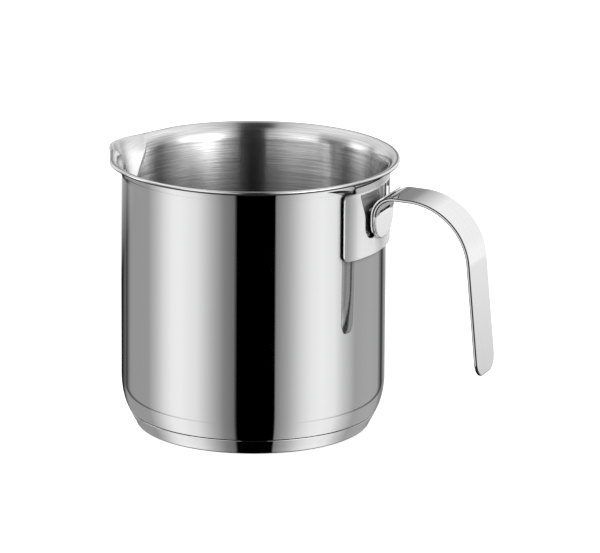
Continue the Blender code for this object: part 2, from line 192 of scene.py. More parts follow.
def layeredNoise(tree, place, look):  # a coarse and a fine noise, added by their shares
    layers = []
    for grain in ("coarse", "fine"):
        noise = addNode(tree, "ShaderNodeTexNoise")
        setInputs(tree, noise, {"Vector": place, "Scale": look[grain + "Scale"],
                                "Detail": look[grain + "Detail"], "Roughness": look["roughness"]})
        layers.append(mathNode(tree, "MULTIPLY", noise.outputs["Fac"], look[grain + "Share"]))
    return mathNode(tree, "ADD", *layers)


def buildBrushLines():
    # fine lines of a rotating or straight brush: noise drawn out along the brush
    group, entry, leave = newGroup(
        "brushLines",
        [("Place", "NodeSocketVector", (0, 0, 0)), ("Stretch", "NodeSocketVector", (20, 20, 1200))],
        [("Shade", "NodeSocketFloat"), ("Height", "NodeSocketFloat")])
    scaled = vectorNode(group, "MULTIPLY", entry.outputs["Place"], entry.outputs["Stretch"])
    height = layeredNoise(group, scaled, brushNoise)
    shade = mapNode(group, height, brushNoise["low"], brushNoise["high"], 0, 1)
    group.links.new(shade, leave.inputs["Shade"])
    group.links.new(height, leave.inputs["Height"])
    return group


def buildPolishHaze():
    # slow cloudiness and fine wipe marks that a polishing wheel and a cloth leave on a mirror finish
    group, entry, leave = newGroup(
        "polishHaze",
        [("Place", "NodeSocketVector", (0, 0, 0)), ("Low", "NodeSocketFloat", 0.03),
         ("High", "NodeSocketFloat", 0.07)],
        [("Roughness", "NodeSocketFloat")])
    marks = layeredNoise(group, entry.outputs["Place"], hazeNoise)
    rough = mapNode(group, marks, hazeNoise["low"], hazeNoise["high"], entry.outputs["Low"],
                    entry.outputs["High"])
    group.links.new(rough, leave.inputs["Roughness"])
    return group


brushLines = buildBrushLines()
polishHaze = buildPolishHaze()


def newMaterial(name, colour, metallic=1.0):
    material = bpy.data.materials.new(name)
    material.use_nodes = True
    tree = material.node_tree
    shader = tree.nodes["Principled BSDF"]
    shader.inputs["Base Color"].default_value = (*colour, 1)
    shader.inputs["Metallic"].default_value = metallic
    place = addNode(tree, "ShaderNodeTexCoord").outputs["Object"]
    return material, tree, shader, place


def addGroup(tree, group, **values):
    node = addNode(tree, "ShaderNodeGroup", node_tree=group)
    setInputs(tree, node, values)
    return node


def addBump(tree, shader, height, distance):
    bump = addNode(tree, "ShaderNodeBump")
    setInputs(tree, bump, {"Height": height, "Strength": 1, "Distance": distance})
    tree.links.new(bump.outputs["Normal"], shader.inputs["Normal"])


def tintByShade(tree, shader, shade, dark, bright):
    mix = addNode(tree, "ShaderNodeMix", data_type="RGBA")
    setInputs(tree, mix, {"Factor": shade, "A": (*dark, 1), "B": (*bright, 1)})
    tree.links.new(mix.outputs["Result"], shader.inputs["Base Color"])


def multiplyBase(tree, shader, shade):
    base = shader.inputs["Base Color"]
    before = base.links[0].from_socket if base.links else tuple(base.default_value)
    mix = addNode(tree, "ShaderNodeMix", data_type="RGBA", blend_type="MULTIPLY")
    setInputs(tree, mix, {"Factor": 1, "A": before, "B": shade})
    tree.links.new(mix.outputs["Result"], base)


def paintNookShade(tree, shader, look):  # painted shade: ambient occlusion darkens the base colour in narrow gaps, standing in for the light they lose
    nook = addNode(tree, "ShaderNodeAmbientOcclusion", samples=nookSamples)
    nook.inputs["Distance"].default_value = look["nook"]
    multiplyBase(tree, shader, mathNode(tree, "POWER", nook.outputs["AO"], look["nookStrength"]))


def paintShadeBySteps(tree, shader, value, steps):  # painted shade: multiplies the colour by a level that follows the value
    last = steps[-1][0]
    share = mathNode(tree, "DIVIDE", value, last)
    multiplyBase(tree, shader, rampNode(tree, share, [(across / last, level) for across, level in steps]))


def paintSideShade(tree, shader, place, look):
    # painted shade and highlight, by the distance from the handle's middle plane and by the height, both in
    # mm
    parts = splitNode(tree, place)
    aside = mathNode(tree, "ABSOLUTE", parts["Y"])
    paintShadeBySteps(tree, shader, mathNode(tree, "DIVIDE", aside, mm), look["paintedSideShade"])
    paintShadeBySteps(tree, shader, mathNode(tree, "DIVIDE", parts["Z"], mm), look["paintedFoldShade"])


def tongueMask(tree, place, look):  # 1 on the tongue, 0 on the rest of the strap
    parts = splitNode(tree, place)
    low = mathNode(tree, "LESS_THAN", parts["Z"], look["tongueTop"])
    near = mathNode(tree, "LESS_THAN", parts["X"], look["tongueReach"])
    return mathNode(tree, "MULTIPLY", low, near)


def paintCornerShade(tree, shader, place, look):  # painted shade along the strap's rounded corners, standing in for their dark reflections
    parts = splitNode(tree, addNode(tree, "ShaderNodeNewGeometry").outputs["Normal"])
    sideways = mathNode(tree, "ABSOLUTE", parts["Y"])
    beyond = mathNode(tree, "SUBTRACT", 1, tongueMask(tree, place, look))
    paintShadeBySteps(tree, shader, mathNode(tree, "MULTIPLY", sideways, beyond), look["paintedCornerShade"])


def leanNormal(tree, shader, normal, lean):  # turns the normal up by about the lean, in radians
    lift = addNode(tree, "ShaderNodeCombineXYZ")
    tree.links.new(lean, lift.inputs["Z"])
    leaned = vectorNode(tree, "ADD", normal, lift.outputs[0])
    tree.links.new(vectorNode(tree, "NORMALIZE", leaned), shader.inputs["Normal"])


def leanTongue(tree, shader, place, look):
    # the tongue was pressed flat, so it leans a little off the strap's bend
    lean = mathNode(tree, "MULTIPLY", tongueMask(tree, place, look), look["tongueLean"])
    leanNormal(tree, shader, shader.inputs["Normal"].links[0].from_socket, lean)


def mirrorSteel(name, look):
    material, tree, shader, place = newMaterial(name, look["colour"])
    haze = addGroup(tree, polishHaze, Place=place, Low=look["roughLow"], High=look["roughHigh"])
    tree.links.new(haze.outputs["Roughness"], shader.inputs["Roughness"])
    if "nook" in look:
        paintNookShade(tree, shader, look)
    return material


def turnedPlace(tree, place):
    # z plus the distance from the axis, so that brush lines run round walls and floors
    parts = splitNode(tree, place)
    distance = vectorNode(tree, "LENGTH", vectorNode(tree, "MULTIPLY", place, (1, 1, 0)))
    joined = addNode(tree, "ShaderNodeCombineXYZ")
    setInputs(tree, joined, {"X": parts["X"], "Y": parts["Y"],
                             "Z": mathNode(tree, "ADD", parts["Z"], distance)})
    return joined.outputs[0]


def brushedSteel(name, look):
    material, tree, shader, place = newMaterial(name, look["bright"], look.get("metal", 1.0))
    where = turnedPlace(tree, place) if look["turned"] else place
    lines = addGroup(tree, brushLines, Place=where, Stretch=look["stretch"])
    tintByShade(tree, shader, lines.outputs["Shade"], look["dark"], look["bright"])
    rough = mapNode(tree, lines.outputs["Shade"], 0, 1, look["roughHigh"], look["roughLow"])
    tree.links.new(rough, shader.inputs["Roughness"])
    addBump(tree, shader, lines.outputs["Height"], look["depth"])
    if "paintedSideShade" in look:
        paintSideShade(tree, shader, place, look)
    if "tongueLean" in look:
        paintCornerShade(tree, shader, place, look)
        leanTongue(tree, shader, place, look)
    if "nook" in look:
        paintNookShade(tree, shader, look)
    return material


def innerBrushedSteel(name, look):
    # brushed round the wall, softly polished on the flare: the brush's grooves spread reflections up and down
    material, tree, shader, place = newMaterial(name, look["bright"])
    lines = addGroup(tree, brushLines, Place=turnedPlace(tree, place), Stretch=look["stretch"])
    tintByShade(tree, shader, lines.outputs["Shade"], look["dark"], look["bright"])
    height = splitNode(tree, place)["Z"]
    # painted shade: the colour darkens deeper in the pot
    deep = mapNode(tree, height, look["deepEnds"], look["brushEnds"], look["paintedDeepShade"], 1)
    multiplyBase(tree, shader, deep)
    flare = mapNode(tree, height, look["brushEnds"], look["flareStarts"], 0, 1)
    tangent = addNode(tree, "ShaderNodeTangent", direction_type="RADIAL", axis="Z")
    setInputs(tree, shader, {
        "Roughness": mapNode(tree, flare, 0, 1, look["brushRough"], look["flareRough"]),
        "Anisotropic": mapNode(tree, flare, 0, 1, look["spread"], look["flareSpread"]),
        "Anisotropic Rotation": look["spreadTurn"], "Tangent": tangent.outputs[0],
    })
    # the grooves' faces lean up a little, each by its own amount, down to none on the flare
    change = mathNode(tree, "SUBTRACT", lines.outputs["Height"], look["middle"])
    lean = mathNode(tree, "ADD", mathNode(tree, "MULTIPLY", change, look["tiltChange"]), look["tilt"])
    lean = mathNode(tree, "MULTIPLY", lean, mathNode(tree, "SUBTRACT", 1, flare))
    leanNormal(tree, shader, addNode(tree, "ShaderNodeNewGeometry").outputs["Normal"], lean)
    return material


capLook = {"colour": (0.83, 0.83, 0.835), "roughLow": 0.02, "roughHigh": 0.05}
# the outside gets painted shade in narrow gaps through its nook keys
outerLook = {**capLook, "nook": 3.5 * mm, "nookStrength": 1.5}
innerLook = {
    "dark": (0.50, 0.50, 0.50), "bright": (1.0, 1.0, 1.0), "stretch": (40, 40, 3600),
    "brushRough": 0.20, "flareRough": 0.17, "spread": 1.0, "flareSpread": 0.3, "spreadTurn": 0.25,
    "brushEnds": 136.0 * mm, "flareStarts": 142.5 * mm,  # heights between which the brushing fades out
    "tilt": 0.15, "tiltChange": 0.15, "middle": 0.5,  # lean of the grooves' faces; the noise's mean height
    "deepEnds": 114.0 * mm, "paintedDeepShade": 0.66,  # painted shade: the wall's colour darkens from the brushing's end down to here
}
spoutLook = {
    **innerLook, "dark": (0.62, 0.62, 0.62), "bright": (0.92, 0.92, 0.92),
    "brushRough": 0.34, "flareRough": 0.36, "spread": 0.5, "tilt": 0.0, "paintedDeepShade": 0.8,
}
# painted shade: the rolled edge's underside is near-black, standing in for the dark line under the lip
lipShadeLook = {
    "dark": (0.05, 0.05, 0.05), "bright": (0.12, 0.12, 0.12), "stretch": (60, 60, 900), "turned": True,
    "roughLow": 0.35, "roughHigh": 0.5, "depth": 0.01 * mm,
}
strapLook = {
    "dark": (0.86, 0.86, 0.86), "bright": (0.91, 0.91, 0.91), "stretch": (30, 1500, 30), "turned": False,
    "roughLow": 0.07, "roughHigh": 0.11, "depth": 0.0 * mm,
    # painted shade along the strap's corners: how far the normal points sideways, and the level there
    "paintedCornerShade": [(0, 1.0), (0.25, 1.0), (0.42, 0.06), (0.975, 0.06), (0.996, 1.0), (1, 1.0)],
    "tongueLean": 0.085, "tongueTop": 123.5 * mm, "tongueReach": 76 * mm,
}
bracketLook = {
    "dark": (0.965, 0.965, 0.965), "bright": (0.99, 0.99, 0.99), "stretch": (40, 40, 1600), "turned": False,
    "roughLow": 0.28, "roughHigh": 0.31, "depth": 0.0001 * mm,
    # nook keys: painted shade in narrow gaps
    "nook": 1.2 * mm, "nookStrength": 1.0, "metal": 0.25,
    # painted shade and highlight, in mm aside from the middle plane and in mm of height, each with the level
    # there: darker in the middle, towards the sides and on the folded flange, with a thin lit line left at
    # the plate's edge
    "paintedSideShade": [(0, 0.70), (3, 0.80), (8, 1.0), (20, 1.0), (23, 0.92), (27, 0.60), (30, 0.40),
                  (32.3, 0.34), (32.45, 1.0), (33, 1.0)],
    "paintedFoldShade": [(0, 1.0), (136.6, 0.95), (137.0, 1.0), (137.6, 1.0), (137.8, 0.60), (142, 0.70)],
}
discLook = {
    "dark": (0.62, 0.62, 0.63), "bright": (0.76, 0.76, 0.77), "stretch": (12, 12, 900), "turned": True,
    "roughLow": 0.35, "roughHigh": 0.5, "depth": 0.02 * mm,
}
weldLook = {
    "dark": (0.22, 0.21, 0.20), "bright": (0.48, 0.47, 0.46), "stretch": (700, 700, 700), "turned": False,
    "roughLow": 0.4, "roughHigh": 0.6, "depth": 0.05 * mm,
}

outerSteel = mirrorSteel("outerMirror", outerLook)
spoutSteel = innerBrushedSteel("spoutBrushed", spoutLook)
innerSteel = innerBrushedSteel("innerBrushed", innerLook)
lipShadeSteel = brushedSteel("lipPaintedShade", lipShadeLook)
capSteel = mirrorSteel("capMirror", capLook)
strapSteel = brushedSteel("strapSatin", strapLook)
bracketSteel = brushedSteel("bracketPolish", bracketLook)
discAluminium = brushedSteel("discAluminium", discLook)
weldSteel = brushedSteel("weldMetal", weldLook)
print("materials made")


# vessel: wall, flared rim, pouring lip and floor

vesselSize = {
    "bodyRadius": 70.6 * mm, "wall": 0.6 * mm, "rimHeight": 145.75 * mm,
    "flareReach": 6.0 * mm, "flareHeight": 8.3 * mm, "rollRadius": 0.4 * mm, "rollUnder": math.radians(60),
    "rollRows": 12, "edgeRows": 5,
    "cornerReach": 10.2 * mm, "cornerHeight": 22.4 * mm, "cornerBottom": 4.1 * mm,
    "seatHeight": 9.0 * mm, "seatRadius": 64.83 * mm, "floorHeight": 6.7 * mm, "floorFillet": 4.0 * mm,
    "edgeRound": 0.22 * mm,
    "flareRows": 14, "spoutRows": 30, "wallRows": 12, "cornerRows": 14, "filletRows": 6, "floorRows": 14,
    "columns": 320,
}
spoutSize = {
    "reach": 10.2 * mm, "rollFade": 0.6, "depth": 26.75 * mm, "halfAngle": math.radians(14.5),
    "roundShare": 0.4, "drawIn": 1.0 * mm, "drawInAngle": math.radians(24), "drawInSpread": math.radians(7),
    "zoneAngle": math.radians(32), "creaseColumns": 26, "zoneColumns": 44,
}


def cornerRadius(height):
    size = vesselSize
    share = 1 - (height - size["cornerBottom"]) / size["cornerHeight"]
    return size["bodyRadius"] - size["cornerReach"] * (1 - math.sqrt(max(1 - share ** 2, 0)))


def vesselProfile():  # outer face from the lip down to the middle of the floor
    size = vesselSize
    radius = size["bodyRadius"]
    flareFoot = size["rimHeight"] - size["flareHeight"]
    flare = quarterEllipse(size["flareReach"], size["flareHeight"], size["flareRows"])
    ridge, roll = radius + size["flareReach"], size["rollRadius"]
    profile = [(ridge + roll * math.cos(turn), size["rimHeight"] - roll + roll * math.sin(turn))
               for turn in spread(-size["rollUnder"], math.pi / 2, size["rollRows"])[:-1]]
    profile += [(radius + out, flareFoot + up) for out, up in reversed(flare)]
    spoutFoot = size["rimHeight"] - spoutSize["depth"]
    profile += [(radius, height) for height in spread(flareFoot, spoutFoot, size["spoutRows"])[1:]]
    cornerTop = size["cornerBottom"] + size["cornerHeight"]
    profile += [(radius, height) for height in spread(spoutFoot, cornerTop, size["wallRows"])[1:]]
    for step in range(1, size["cornerRows"] + 1):
        share = math.sin(math.pi / 2 * step / size["cornerRows"])
        height = cornerTop + (size["seatHeight"] - cornerTop) * share
        profile.append((cornerRadius(height), height))
    fillet = quarterEllipse(size["floorFillet"], size["seatHeight"] - size["floorHeight"], size["filletRows"])
    profile += [(size["seatRadius"] - inward, size["seatHeight"] - down) for inward, down in fillet]
    edge = size["seatRadius"] - size["floorFillet"]
    profile += [(out, size["floorHeight"]) for out in spread(edge, 0, size["floorRows"])[1:-1]]
    return profile


def spoutHalfAngle(height):
    rise = (height - (vesselSize["rimHeight"] - spoutSize["depth"])) / spoutSize["depth"]
    return spoutSize["halfAngle"] * max(rise, spoutSize["roundShare"] / 2)


def spoutRadius(radius, height, angle):
    size = spoutSize
    rise = (height - (vesselSize["rimHeight"] - size["depth"])) / size["depth"]
    if rise <= 0:
        return radius
    ridge = vesselSize["bodyRadius"] + size["reach"] * rise
    share = angle / spoutHalfAngle(height)
    soft = size["roundShare"]
    shape = max(1 - (math.hypot(share, soft) - soft) / (math.hypot(1, soft) - soft), 0)
    flare = (radius - vesselSize["bodyRadius"]) / vesselSize["flareReach"]
    drawn = flare * size["drawIn"] * math.exp(-((angle - size["drawInAngle"]) / size["drawInSpread"]) ** 2)
    roll = max(radius - vesselSize["bodyRadius"] - vesselSize["flareReach"], 0)  # part of the rolled edge
    return radius + max(ridge - radius + roll, 0) * shape - drawn - roll * size["rollFade"] * shape


def columnAngle(column, height):
    # columns follow the spout's creases near it, and are even round the rest; 0 is the spout's middle
    half = vesselSize["columns"] // 2
    number = column if column <= half else vesselSize["columns"] - column
    crease, zone = spoutSize["creaseColumns"], spoutSize["zoneColumns"]
    halfAngle = spoutHalfAngle(height)
    if number <= crease:
        angle = halfAngle * number / crease
    elif number <= zone:
        angle = halfAngle + (spoutSize["zoneAngle"] - halfAngle) * (number - crease) / (zone - crease)
    else:
        angle = spoutSize["zoneAngle"] + (math.pi - spoutSize["zoneAngle"]) * (number - zone) / (half - zone)
    return angle if column <= half else -angle


def buildVessel():
    profile = vesselProfile()
    rollRows = vesselSize["rollRows"]
    flareRows = vesselSize["flareRows"] + rollRows
    crease = spoutSize["creaseColumns"]

    def placeAt(ring, column):
        radius, height = profile[ring]
        across = vesselSize["rimHeight"] if ring < rollRows else height
        angle = columnAngle(column, across)
        if radius > vesselSize["bodyRadius"] - weldDistance:
            radius = spoutRadius(radius, across, abs(angle))
        return Vector((-radius * math.cos(angle), -radius * math.sin(angle), height))

    def slotAt(ring, column):  # 0 wall and floor, 1 pouring lip, 2 the rolled edge's underside, in near-black painted shade
        if ring < vesselSize["edgeRows"]:
            return 2
        inSpout = column < crease or column >= vesselSize["columns"] - crease
        return 1 if inSpout and ring < flareRows + vesselSize["spoutRows"] else 0

    mesh = turnedMesh("vesselShell", len(profile), vesselSize["columns"], placeAt, slotAt)
    outside, inside = [outerSteel, outerSteel, lipShadeSteel], [innerSteel, spoutSteel, lipShadeSteel]
    piece = addPiece("vesselShell", mesh, outside + inside)
    addSheet(piece, vesselSize["wall"], innerSlots=len(outside))
    addEdgeRound(piece, vesselSize["edgeRound"])
    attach(piece, "root")
    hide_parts("vessel")
    return piece


buildVessel()
print("vessel made")


# base cap round the core disc

capSize = {
    "topRadius": 66.67 * mm, "topHeight": 8.35 * mm, "taper": 3.8 * mm, "corner": 1.6 * mm,
    "wall": 0.5 * mm, "edgeRound": 0.24 * mm,
    "sideRows": 4, "cornerRows": 8, "footRows": 12, "columns": 256,
}


def capProfile():  # outer face from the top edge down the taper and the corner to the middle of the underside
    size = capSize
    foot = size["topRadius"] - size["taper"] - size["corner"]
    fall = size["corner"] - size["topHeight"]
    side = [(size["topRadius"] - size["taper"] * share, size["topHeight"] + fall * share)
            for share in spread(0, 1, size["sideRows"])[:-1]]
    turns = spread(math.pi / 2, 0, size["cornerRows"])
    arc = [(foot + size["corner"] * math.sin(turn), size["corner"] * (1 - math.cos(turn))) for turn in turns]
    return side + arc + [(out, 0) for out in spread(foot, 0, size["footRows"])[1:-1]]


def buildCap():
    profile = capProfile()

    def placeAt(ring, column):
        radius, height = profile[ring]
        angle = 2 * math.pi * column / capSize["columns"]
        return Vector((radius * math.cos(angle), radius * math.sin(angle), height))

    mesh = turnedMesh("baseCap", len(profile), capSize["columns"], placeAt, lambda ring, column: 0)
    piece = addPiece("baseCap", mesh, [capSteel])
    addSheet(piece, capSize["wall"])
    addEdgeRound(piece, capSize["edgeRound"])
    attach(piece, "root")
    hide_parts("base_cap")
    return piece


buildCap()
print("base made")


# bent sheet metal: a flat plate with rounded edges, cut across where it bends, then bent

def roundedOutline(corners, steps=10):  # corners are (across, up, radius)
    points = []
    count = len(corners)
    for index, (across, up, radius) in enumerate(corners):
        here = Vector((across, up))
        before = Vector(corners[index - 1][:2]) - here
        after = Vector(corners[(index + 1) % count][:2]) - here
        if radius <= 0:
            points.append(here)
            continue
        half = before.angle(after) / 2
        reach = radius / math.tan(half)
        start = here + before.normalized() * reach
        centre = here + (before.normalized() + after.normalized()).normalized() * (radius / math.sin(half))
        sweep = (start - centre).angle_signed(here + after.normalized() * reach - centre)
        for step in range(steps + 1):
            points.append(centre + Matrix.Rotation(-sweep * step / steps, 2) @ (start - centre))
    return points


def plateMesh(name, outlines, sheet, edge, edgeSteps=2):
    curve = bpy.data.curves.new(name, "CURVE")
    curve.dimensions = "2D"
    curve.fill_mode = "BOTH"
    curve.extrude = sheet / 2 - edge
    curve.bevel_depth = edge
    curve.bevel_resolution = edgeSteps
    curve.offset = -edge
    for outline in outlines:
        spline = curve.splines.new("POLY")
        spline.points.add(len(outline) - 1)
        for point, spot in zip(spline.points, outline):
            point.co = (spot[0], spot[1], 0, 1)
        spline.use_cyclic_u = True
    guide = bpy.data.objects.new(name, curve)
    bpy.context.scene.collection.objects.link(guide)
    mesh = evaluatedMesh(guide)
    bpy.data.objects.remove(guide, do_unlink=True)
    return mesh


def bendPlate(mesh, sheet, cutsAcross, cutsUp, place):
    work = bmesh.new()
    work.from_mesh(mesh)
    bmesh.ops.remove_doubles(work, verts=work.verts[:], dist=weldDistance / 2)
    bmesh.ops.recalc_face_normals(work, faces=work.faces[:])
    for normal, cuts in (((1, 0, 0), cutsAcross), ((0, 1, 0), cutsUp)):
        for cut in cuts:
            parts = work.verts[:] + work.edges[:] + work.faces[:]
            bmesh.ops.bisect_plane(work, geom=parts, dist=weldDistance / 2,
                                   plane_co=Vector(normal) * cut, plane_no=normal)
    for vertex in work.verts:
        vertex.co = place(vertex.co.x, vertex.co.y, sheet / 2 - vertex.co.z)
    work.to_mesh(mesh)
    work.free()


def addFlatShine(piece):
    # large faces decide the normals, so that the narrow rounded edge keeps its own glint
    shine = piece.modifiers.new("Shine", "WEIGHTED_NORMAL")
    shine.keep_sharp = True
    shine.weight = flatWeight


bracketSize = {
    "sheet": 0.8 * mm, "edge": 0.18 * mm, "radius": 72.6 * mm, "halfAngle": math.radians(26.8),
    "top": 137.6 * mm, "bottom": 102.4 * mm, "corner": 3.6 * mm,
    "flangeSlope": math.radians(16), "flangeLength": 3.4 * mm, "flangeHalf": 24.6 * mm,
    "flangeCorner": 0.8 * mm,
    "shoulderRise": 0.6 * mm, "shoulderCorner": 3.0 * mm, "hemHeight": 2.0 * mm, "hemReach": 1.0 * mm,
    "windowTopHalf": 22.0 * mm, "windowLowHalf": 17.4 * mm, "windowBottom": 111.4 * mm,
    "windowShoulder": 124.5 * mm, "windowTopEdge": 0.8 * mm, "windowTopCorner": 0.6 * mm,
    "windowBend": 9.0 * mm, "windowCorner": 7.0 * mm,
    "tabHalf": 13.2 * mm, "tabBottom": 113.4 * mm, "tabCorner": 6.0 * mm, "tabTopCorner": 0.4 * mm,
    "neckHalf": 7.5 * mm, "neckCorner": 0.9 * mm, "tabRise": 5.0 * mm, "tabWrap": math.radians(62),
    "riseCuts": 6, "wrapCuts": 16, "hemCuts": 5, "acrossCuts": 44, "smoothAngle": math.radians(30),
}
strapSize = {
    "width": 26.8 * mm, "sheet": 1.8 * mm, "edge": 0.7 * mm, "top": 134.9 * mm, "droop": math.radians(1.2),
    "endHeight": 41.8 * mm, "endReach": 133.2 * mm, "lean": math.radians(5.5),
    "rootBend": 9.6 * mm, "gripBend": 35.5 * mm, "endCorner": 8.5 * mm,
    "tongueBottom": 109.6 * mm, "tongueCorner": 12.0 * mm, "tongueFace": 72.9 * mm, "gap": 0.3 * mm,
    "slotWidth": 15.0 * mm, "slotHeight": 1.6 * mm, "slotDrop": 9.9 * mm, "slotFlat": 0.02 * mm,
    "slotSteps": 5, "edgeSteps": 6, "step": 1.6 * mm, "smoothAngle": math.radians(40),
}


def strapRuns():  # (length, heading, turn) of each run, from the tongue's foot to the grip's end
    size = strapSize
    outer = size["rootBend"] + size["sheet"]
    upright = size["top"] - outer - size["tongueBottom"]
    rootTurn = -(math.pi / 2 + size["droop"])
    level = -size["droop"]
    gripTurn = -(math.pi / 2 - size["droop"] - size["lean"])
    down = level + gripTurn
    startX = size["tongueFace"] + outer * (1 + math.sin(size["droop"]))
    startZ = size["top"] - outer * (1 - math.cos(size["droop"]))
    leftX = size["endReach"] - startX - size["gripBend"] * (math.sin(level) - math.sin(down))
    leftZ = size["endHeight"] - startZ - size["gripBend"] * (math.cos(down) - math.cos(level))
    spin = math.cos(level) * math.sin(down) - math.sin(level) * math.cos(down)
    levelRun = (leftX * math.sin(down) - leftZ * math.cos(down)) / spin
    gripRun = (math.cos(level) * leftZ - math.sin(level) * leftX) / spin
    return [(upright, math.pi / 2, 0), (outer * -rootTurn, math.pi / 2, rootTurn), (levelRun, level, 0),
            (size["gripBend"] * -gripTurn, level, gripTurn), (gripRun, down, 0)]


def strapPoint(distance):
    x, z = strapSize["tongueFace"], strapSize["tongueBottom"]
    runs = strapRuns()
    for index, (length, heading, turn) in enumerate(runs):
        last = index == len(runs) - 1
        travel = distance if last else min(distance, length)
        now = heading
        if turn:
            radius = length / turn
            now = heading + travel / radius
            x += radius * (math.sin(now) - math.sin(heading))
            z += radius * (math.cos(heading) - math.cos(now))
        else:
            x += travel * math.cos(heading)
            z += travel * math.sin(heading)
        if distance <= length and not last:
            break
        distance -= length
    return x, z, now


def strapPlace(across, along, depth):  # depth is measured from the face outside both bends
    x, z, heading = strapPoint(along)
    return Vector((x + depth * math.sin(heading), -across, z - depth * math.cos(heading)))


def slotMiddle():
    return strapRuns()[0][0] + strapSize["rootBend"] + strapSize["sheet"] - strapSize["slotDrop"]


def slotOutline(middle):
    size = strapSize
    half, rise = size["slotWidth"] / 2, size["slotHeight"] / 2
    low, high, corner = middle - rise, middle + rise, rise - size["slotFlat"]
    return roundedOutline([(-half, low, corner), (half, low, corner), (half, high, corner),
                           (-half, high, corner)], steps=size["slotSteps"])


def buildStrap():
    size = strapSize
    half, end = size["width"] / 2, sum(run[0] for run in strapRuns())
    outline = roundedOutline([(-half, 0, size["tongueCorner"]), (half, 0, size["tongueCorner"]),
                              (half, end, size["endCorner"]), (-half, end, size["endCorner"])])
    mesh = plateMesh("strapHandle", [outline, slotOutline(slotMiddle())], size["sheet"], size["edge"],
                     edgeSteps=size["edgeSteps"])
    cuts = spread(0, end, round(end / size["step"]))[1:-1]
    bendPlate(mesh, size["sheet"], [], cuts, strapPlace)
    piece = addPiece("strapHandle", mesh, [strapSteel])
    smoothShade(piece, size["smoothAngle"])
    addFlatShine(piece)
    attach(piece, "root")
    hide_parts("handle_strap")
    return piece


def tabTop():
    return strapSize["top"] - strapSize["rootBend"] - strapSize["sheet"]


def wrapRadius():
    return strapSize["rootBend"] + strapSize["sheet"] + strapSize["gap"]


def tabEnd():
    return tabTop() + bracketSize["tabWrap"] * wrapRadius()


def mirroredOutline(left):  # the left half's corners, and their mirror images back to the start
    return roundedOutline(left + [(-across, up, radius) for across, up, radius in reversed(left)])


def windowOutline():
    size = bracketSize
    return mirroredOutline([
        (-size["windowTopHalf"], size["top"] - size["windowTopEdge"], size["windowTopCorner"]),
        (-size["windowLowHalf"], size["windowShoulder"], size["windowBend"]),
        (-size["windowLowHalf"], size["windowBottom"], size["windowCorner"]),
        (-size["neckHalf"], size["windowBottom"], size["neckCorner"]),
        (-size["neckHalf"], size["tabBottom"], size["neckCorner"]),
        (-size["tabHalf"], size["tabBottom"], size["tabCorner"]),
        (-size["tabHalf"], tabEnd(), size["tabTopCorner"])])


def saddlePlace(across, up, depth):  # wraps the plate round the pot and folds its top edge in
    size = bracketSize
    folded = max(up - size["top"], 0)
    slope = size["flangeSlope"] if folded else 0
    radius = size["radius"] - folded * math.sin(slope) - depth * math.cos(slope)
    height = min(up, size["top"]) + folded * math.cos(slope) - depth * math.sin(slope)
    # the shoulders' top edges are hammered in against the wall
    beside = min(max((abs(across) - size["flangeHalf"]) / size["hemHeight"], 0), 1)
    rise = min(max((up - size["top"] - size["shoulderRise"]) / size["hemHeight"] + 1, 0), 1)
    radius -= size["hemReach"] * beside * rise ** 2
    angle = across / size["radius"]
    return Vector((radius * math.cos(angle), radius * math.sin(angle), height))


def tabPlace(across, up, depth):  # the tab leaves the saddle's curve, stands flat and wraps over the strap
    size = bracketSize
    rise = min(max((up - size["windowBottom"]) / size["tabRise"], 0), 1)
    turn = max(up - tabTop(), 0) / wrapRadius()
    radius = wrapRadius() + depth
    x = size["radius"] + wrapRadius() - radius * math.cos(turn)
    z = min(up, tabTop()) + radius * math.sin(turn)
    return saddlePlace(across, up, depth).lerp(Vector((x, across, z)), rise)


def bracketPlace(across, up, depth):
    size = bracketSize
    onTab = abs(across) < size["tabHalf"] + weldDistance and size["tabBottom"] - weldDistance < up
    onNeck = abs(across) < size["neckHalf"] + size["neckCorner"] and size["windowBottom"] < up
    place = tabPlace if (onTab or onNeck) and up < tabEnd() + weldDistance else saddlePlace
    return place(across, up, depth)


def buildBracket():
    size = bracketSize
    half, top = size["halfAngle"] * size["radius"], size["top"] + size["flangeLength"]
    shoulder = size["top"] + size["shoulderRise"]
    outline = mirroredOutline([
        (-size["flangeHalf"], top, size["flangeCorner"]),
        (-size["flangeHalf"], shoulder, size["flangeCorner"]),
        (-half, shoulder, size["shoulderCorner"]),
        (-half, size["bottom"], size["corner"])])
    turn = (slotMiddle() - strapRuns()[0][0]) / (strapSize["rootBend"] + strapSize["sheet"])
    slot = slotOutline(tabTop() + turn * wrapRadius())
    mesh = plateMesh("bracketPlate", [outline, windowOutline(), slot], size["sheet"], size["edge"])
    hem = shoulder - size["hemHeight"]
    cutsUp = spread(size["windowBottom"], size["windowBottom"] + size["tabRise"], size["riseCuts"])
    cutsUp += [cut for cut in spread(tabTop(), tabEnd(), size["wrapCuts"])[:-1] if cut < hem]
    cutsUp += [size["top"]] + spread(hem, shoulder, size["hemCuts"])[:-1]
    cutsAcross = spread(-half, half, size["acrossCuts"])[1:-1]
    bendPlate(mesh, size["sheet"], cutsAcross, sorted(cutsUp), bracketPlace)
    piece = addPiece("bracketPlate", mesh, [bracketSteel])
    smoothShade(piece, size["smoothAngle"])
    addFlatShine(piece)
    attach(piece, "root")
    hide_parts("bracket")
    return piece


buildStrap()
buildBracket()
print("handle and bracket made")


# pieces kept from the frame: the hidden core disc and the weld nuggets

def dressNode(name, material):
    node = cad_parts[name]
    for slot in node.material_slots:
        slot.material = material


dressNode("core_disc", discAluminium)
for number in range(1, 5):
    dressNode(f"wall_weld_{number}", weldSteel)
print("frame pieces dressed")


# floor, world and lamp

